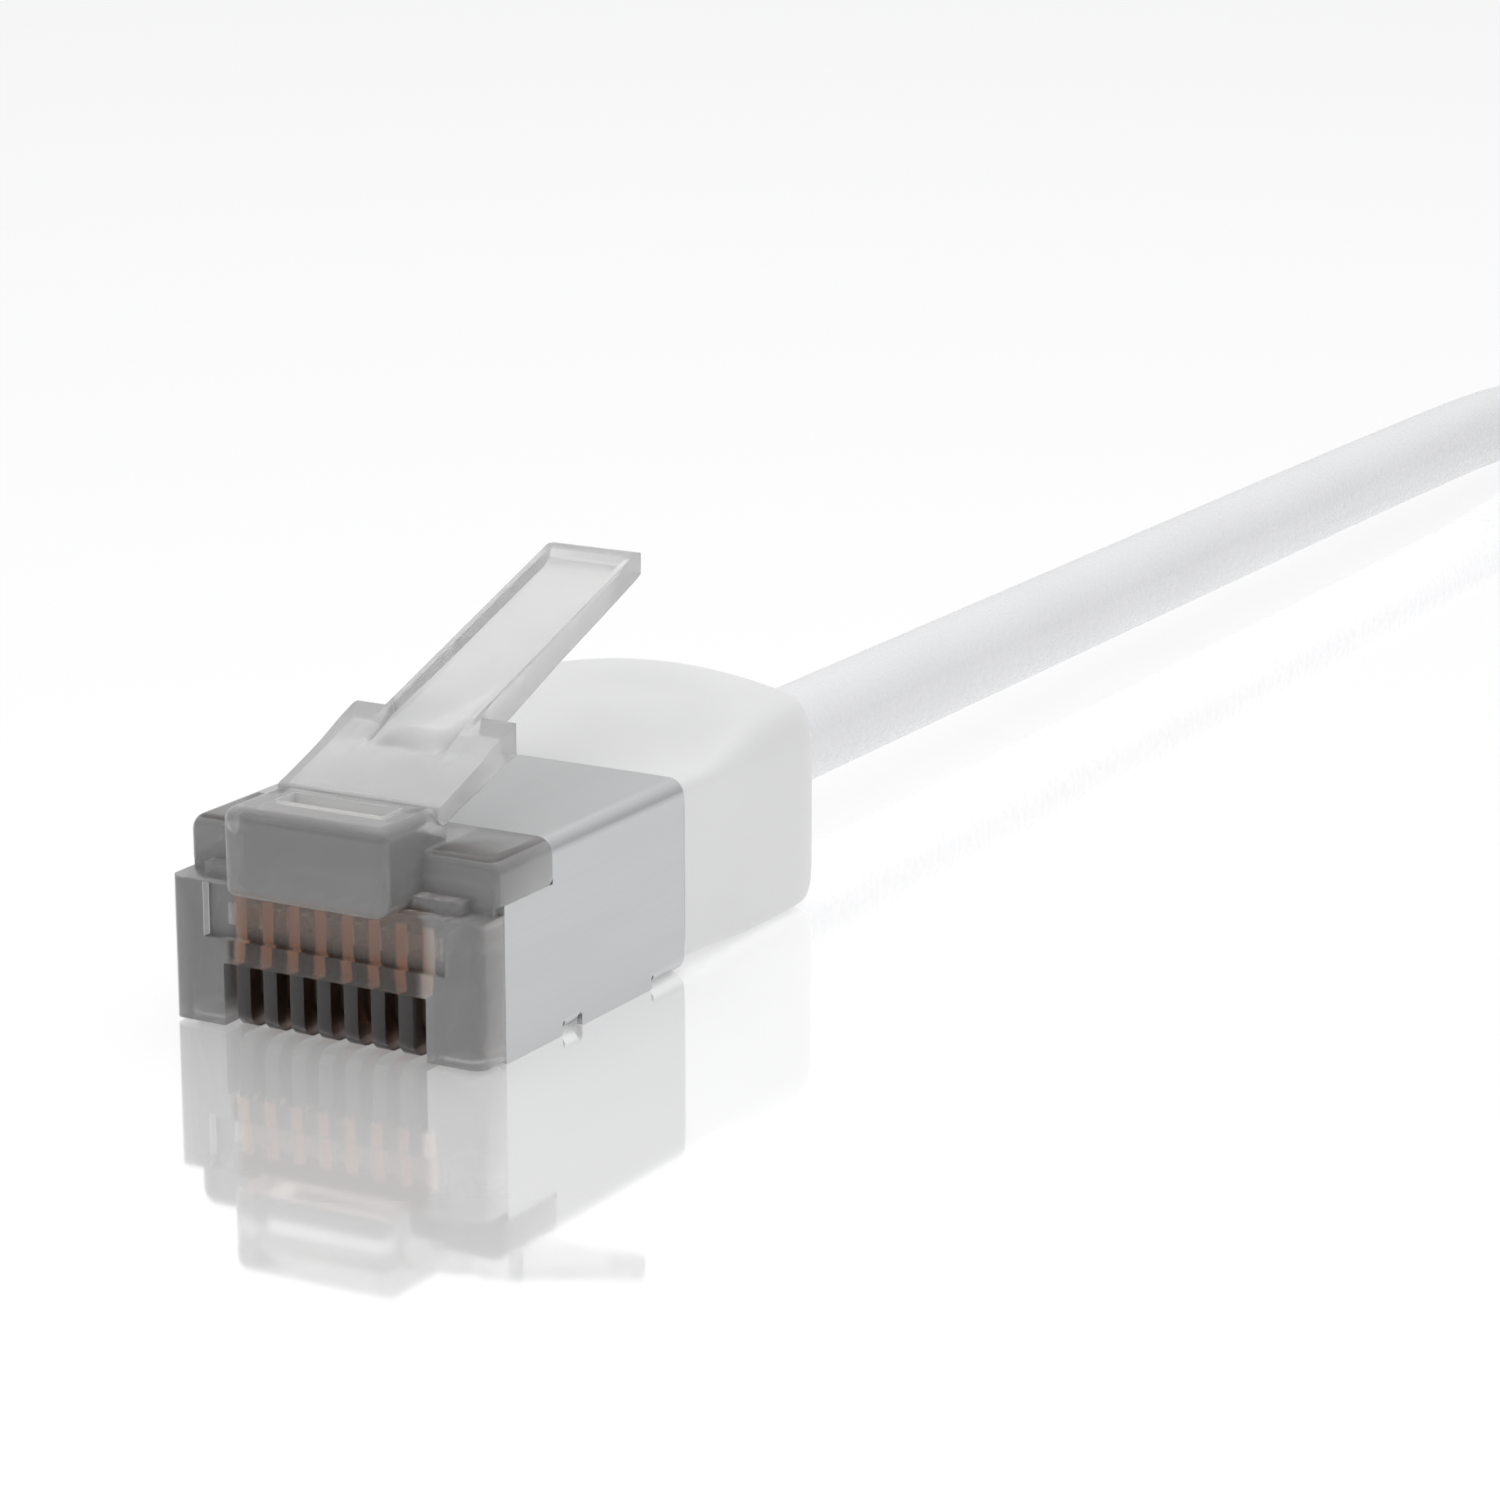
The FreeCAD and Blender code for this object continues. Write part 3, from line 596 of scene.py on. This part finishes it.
def boot_section(y, inset, top_inset):
    """One ring of the boot's cage, from the middle of its underside round over the top."""
    half = PLUG_HALF_WIDTH - inset
    low = boot_underside(y) + inset
    r = SECTION_CORNER
    shoulder = SIDE_TOP + SIDE_RISE * smooth_step(y, *SIDE_SPAN) - top_inset
    right = [(half * 0.5, low), (half - r, low), (half - 0.16, low + 0.16), (half, low + r)]
    right += [(half, low + (shoulder - low) * share) for share in (0.3, 0.55, 0.78)]
    right += [(half, shoulder - r), (half - 0.13, shoulder - 0.17)]
    for share in (0.92, 0.72, 0.48, 0.24):
        x = half * share
        right.append((x, boot_top(x, y) - top_inset))
    left = [(-x, z) for x, z in reversed(right)]
    return [(0, low)] + right + [(0, boot_top(0, y) - top_inset)] + left


def boot_rings():
    """The cage's rings as lists of points in plug axes, from the seam to just inside the cable's hole."""
    rings = []
    for y in BOOT_STATIONS:
        rings.append([(x, y, z) for x, z in boot_section(y, 0, 0)])
    for degrees in (30, 58, 80):
        turn = math.radians(degrees)
        y = BOOT_REAR - REAR_ROUND * (1 - math.sin(turn))
        inset = REAR_ROUND * (1 - math.cos(turn))
        rings.append([(x, y, z) for x, z in boot_section(y, inset, CREST_ROUND * (1 - math.cos(turn)))])
    outer = boot_section(BOOT_REAR, REAR_ROUND * 1.15, CREST_ROUND * 1.5)
    for share, depth in ((0.0, 0), (0.55, 0), (0.93, 0), (1.0, 0.12), (1.0, HOLE_DEPTH)):
        ring = []
        for x, z in outer:
            hole = HOLE_RADIUS / math.hypot(x, z - CABLE_Z)
            k = 1 - share + share * hole
            ring.append((x * k, BOOT_REAR - depth, CABLE_Z + (z - CABLE_Z) * k))
        rings.append(ring)
    return rings


def make_boot(name, node, place):
    rings = boot_rings()
    count = len(rings[0])
    points = [place(*p) for ring in rings for p in ring]
    faces = []
    for k in range(len(rings) - 1):
        for i in range(count):
            j = (i + 1) % count
            faces.append((k * count + i, k * count + j, (k + 1) * count + j, (k + 1) * count + i))
    mesh = bpy.data.meshes.new(name)
    mesh.from_pydata(points, [], faces)
    shape = bmesh.new()
    shape.from_mesh(mesh)
    bmesh.ops.recalc_face_normals(shape, faces=shape.faces)
    shape.to_mesh(mesh)
    shape.free()
    for face in mesh.polygons:
        face.use_smooth = True
    mesh.materials.append(FINISHES["boot_white"])
    boot = new_object(name, mesh)
    smooth = boot.modifiers.new("smooth", "SUBSURF")
    smooth.levels = 2
    smooth.render_levels = 2
    wall = boot.modifiers.new("wall", "SOLIDIFY")
    wall.thickness = BOOT_WALL * MM
    wall.offset = -1
    declare(boot, "lead", "boot_white", node)
    return boot


# ---------------------------------------------------------------- latch
LATCH_HALF_WIDTH = 3.05
LEVER_HALF_WIDTH = 1.73
EAR_REAR = 6.65
HINGE_Y = 2.4
HINGE_Z = 7.3
KNUCKLE_RADIUS = 0.36
ARM_TOP = ((2.4, 7.66), (3.3, 7.98), (4.47, 8.42), (5.66, 8.97), (6.44, 9.28), (6.65, 9.3))
LEVER_TOP = ((4.8, 8.56), (5.3, 8.76), (5.85, 9.04), (6.3, 9.38), (16.3, 12.83), (16.68, 12.8))
LATCH_UNDER = (
    (2.4, 6.94), (3.0, 7.15), (4.45, 7.58), (5.63, 7.96), (6.65, 8.22),
    (8.17, 8.8), (11.45, 10.1), (14.0, 11.03), (16.5, 11.97), (16.68, 12.08),
)
SWELL_TOP = (
    (4.7, 8.52), (5.0, 8.82), (5.4, 9.05), (5.9, 9.24),
    (6.5, 9.41), (7.2, 9.58), (8.2, 9.82), (9.6, 10.22),
)
SWELL_ROUNDNESS = 0.45
SWELL_SIDE_DROP = 0.16
SWELL_SIDE_SPAN = (4.72, 5.0)
TRAY_DEPTH = 0.3
TRAY_HALF_WIDTH = 1.4
TRAY_START_SPAN = (5.9, 7.4)
TRAY_END_SPAN = (15.6, 15.95)
RIM_SPAN = (TRAY_HALF_WIDTH - 0.05, TRAY_HALF_WIDTH + 0.12)
HAIR = 0.01
LATCH_EDGE = 0.07
LATCH_EDGE_ANGLE = 38
# The lines that the latch's mesh is drawn on: across from its middle, and from the knuckle to the tip
LATCH_ACROSS = (
    0, 0.3, 0.6, 0.85, 1.05, 1.2, 1.3, 1.36, 1.4, 1.46, 1.52,
    LEVER_HALF_WIDTH, 1.79, 2.2, 2.7, LATCH_HALF_WIDTH,
)
KNUCKLE_DEGREES = (4, 25, 50, 70)
ARM_STATIONS = (
    HINGE_Y, 2.8, 3.3, 3.9, 4.47, 4.7, 4.78, 4.9, 5.05,
    5.2, 5.45, 5.7, 5.9, 6.1, 6.3, 6.5, EAR_REAR,
)
LEVER_STATIONS = (EAR_REAR + 2 * HAIR, *(7 + 0.5 * k for k in range(18)), 15.75, 15.95, 16.3, 16.55, 16.68)


def line_height(points, y):
    """Height of a broken line at y, level beyond its ends."""
    if y <= points[0][0]:
        return points[0][1]
    for (y0, z0), (y1, z1) in zip(points, points[1:]):
        if y <= y1:
            return z0 + (z1 - z0) * (y - y0) / (y1 - y0)
    return points[-1][1]


def knuckle_half(y):
    """Half the knuckle's thickness at y."""
    return math.sqrt(max(0.0, KNUCKLE_RADIUS**2 - (y - HINGE_Y) ** 2))


def latch_top(x, y):
    """Top of the latch: the arm and its ears, and the lever with its rims, tray and the swell at its foot."""
    if y < HINGE_Y:
        return HINGE_Z + knuckle_half(y)
    across = abs(x)
    arm = line_height(ARM_TOP, y)
    if across > LEVER_HALF_WIDTH + HAIR or y < SWELL_TOP[0][0]:
        return arm
    rim = line_height(LEVER_TOP, y)
    floor = rim - TRAY_DEPTH
    side = min(arm, rim) - SWELL_SIDE_DROP * smooth_step(y, *SWELL_SIDE_SPAN)
    side += (floor - side) * smooth_step(y, *TRAY_START_SPAN)
    middle = floor if y >= SWELL_TOP[-1][0] else max(line_height(SWELL_TOP, y), floor)
    swell = max(0.0, 1 - (across / TRAY_HALF_WIDTH) ** 2) ** SWELL_ROUNDNESS
    tray = side + (middle - side) * swell
    to_rim = max(smooth_step(across, *RIM_SPAN), smooth_step(y, *TRAY_END_SPAN))
    return tray + (rim - tray) * to_rim


def latch_under(y):
    return HINGE_Z - knuckle_half(y) if y < HINGE_Y else line_height(LATCH_UNDER, y)


def latch_grid(xs, ys):
    """Closed shell between the latch's top and underside. Past the ears only the lever goes on."""
    shape = bmesh.new()
    top, under = {}, {}
    for y in ys:
        for x in xs:
            if y > EAR_REAR and abs(x) > LEVER_HALF_WIDTH + HAIR:
                continue
            top[x, y] = shape.verts.new((x, y, latch_top(x, y)))
            under[x, y] = shape.verts.new((x, y, latch_under(y)))
    for y0, y1 in zip(ys, ys[1:]):
        for x0, x1 in zip(xs, xs[1:]):
            cell = [(x0, y0), (x1, y0), (x1, y1), (x0, y1)]
            if all(corner in top for corner in cell):
                shape.faces.new([top[c] for c in cell])
                shape.faces.new([under[c] for c in reversed(cell)])
    below = {top[place]: under[place] for place in top}
    for edge in [e for e in shape.edges if len(e.link_faces) == 1]:
        start, end = edge.verts
        if start in below and end in below:
            shape.faces.new([start, end, below[end], below[start]])
    return shape


def make_latch(name, node, body, place):
    xs = sorted({-x for x in LATCH_ACROSS} | set(LATCH_ACROSS))
    ys = [HINGE_Y - KNUCKLE_RADIUS * math.cos(math.radians(turn)) for turn in KNUCKLE_DEGREES]
    shape = latch_grid(xs, [*ys, *ARM_STATIONS, *LEVER_STATIONS])
    bmesh.ops.recalc_face_normals(shape, faces=shape.faces)
    for vert in shape.verts:
        vert.co = place(*vert.co)
    for face in shape.faces:
        face.smooth = True
    mesh = bpy.data.meshes.new(name)
    shape.to_mesh(mesh)
    shape.free()
    mesh.set_sharp_from_angle(angle=math.radians(LATCH_EDGE_ANGLE))
    mesh.materials.append(FINISHES["clear_polycarbonate"])
    latch = new_object(name, mesh)
    edges = latch.modifiers.new("edges", "BEVEL")
    edges.width = LATCH_EDGE * MM
    edges.segments = 2
    edges.limit_method = "ANGLE"
    edges.angle_limit = math.radians(LATCH_EDGE_ANGLE)
    edges.use_clamp_overlap = True
    edges.harden_normals = True
    declare(latch, body, "clear_polycarbonate", node)
    return latch


# ---------------------------------------------------------------- pieces with softened edges
WELD = 0.002
FLAT_ANGLE = 1.0
EDGE_ANGLE = 35
SHADING_ANGLE = 40
HOUSING_EDGE = 0.06


def soften(name, node, body, slot, width):
    """A copy of a piece whose sharp edges are rounded, as a mould leaves them."""
    mesh = frame["nodes"][node].data.copy()
    mesh.name = name
    mesh.transform(frame["nodes"][node].matrix_world)
    shape = bmesh.new()
    shape.from_mesh(mesh)
    bmesh.ops.remove_doubles(shape, verts=shape.verts, dist=WELD * MM)
    flat = math.radians(FLAT_ANGLE)
    bmesh.ops.dissolve_limit(shape, angle_limit=flat, verts=shape.verts, edges=shape.edges)
    bend = math.radians(EDGE_ANGLE)
    sharp = [e for e in shape.edges if len(e.link_faces) == 2 and e.calc_face_angle(0) > bend]
    bmesh.ops.bevel(
        shape, geom=sharp, offset=width * MM, segments=2, profile=0.5,
        affect="EDGES", clamp_overlap=True, loop_slide=True,
    )
    for face in shape.faces:
        face.smooth = True
    shape.to_mesh(mesh)
    shape.free()
    mesh.set_sharp_from_angle(angle=math.radians(SHADING_ANGLE))
    mesh.materials.clear()
    mesh.materials.append(FINISHES[slot])
    piece = new_object(name, mesh)
    declare(piece, body, slot, node)
    return piece


# ---------------------------------------------------------------- the whole lead
cord = make_cord()
make_boot("moulded_boot", "boot", near_place)
standing_in = {"far_boot": make_boot("far_moulded_boot", "far_boot", far_place)}
make_latch("clear_latch", "latch", "latch", near_place)
standing_in["far_latch"] = make_latch("far_clear_latch", "far_latch", "far_latch", far_place)
clear = ("lead", "clear_polycarbonate", HOUSING_EDGE)
soften("clear_housing", "housing", *clear)
standing_in["far_housing"] = soften("far_clear_housing", "far_housing", *clear)

for part in frame["record"]["subparts"]:
    node = frame["nodes"][part["node"]]
    node.data.materials.clear()
    node.data.materials.append(finish_for(part["material_slot"]))
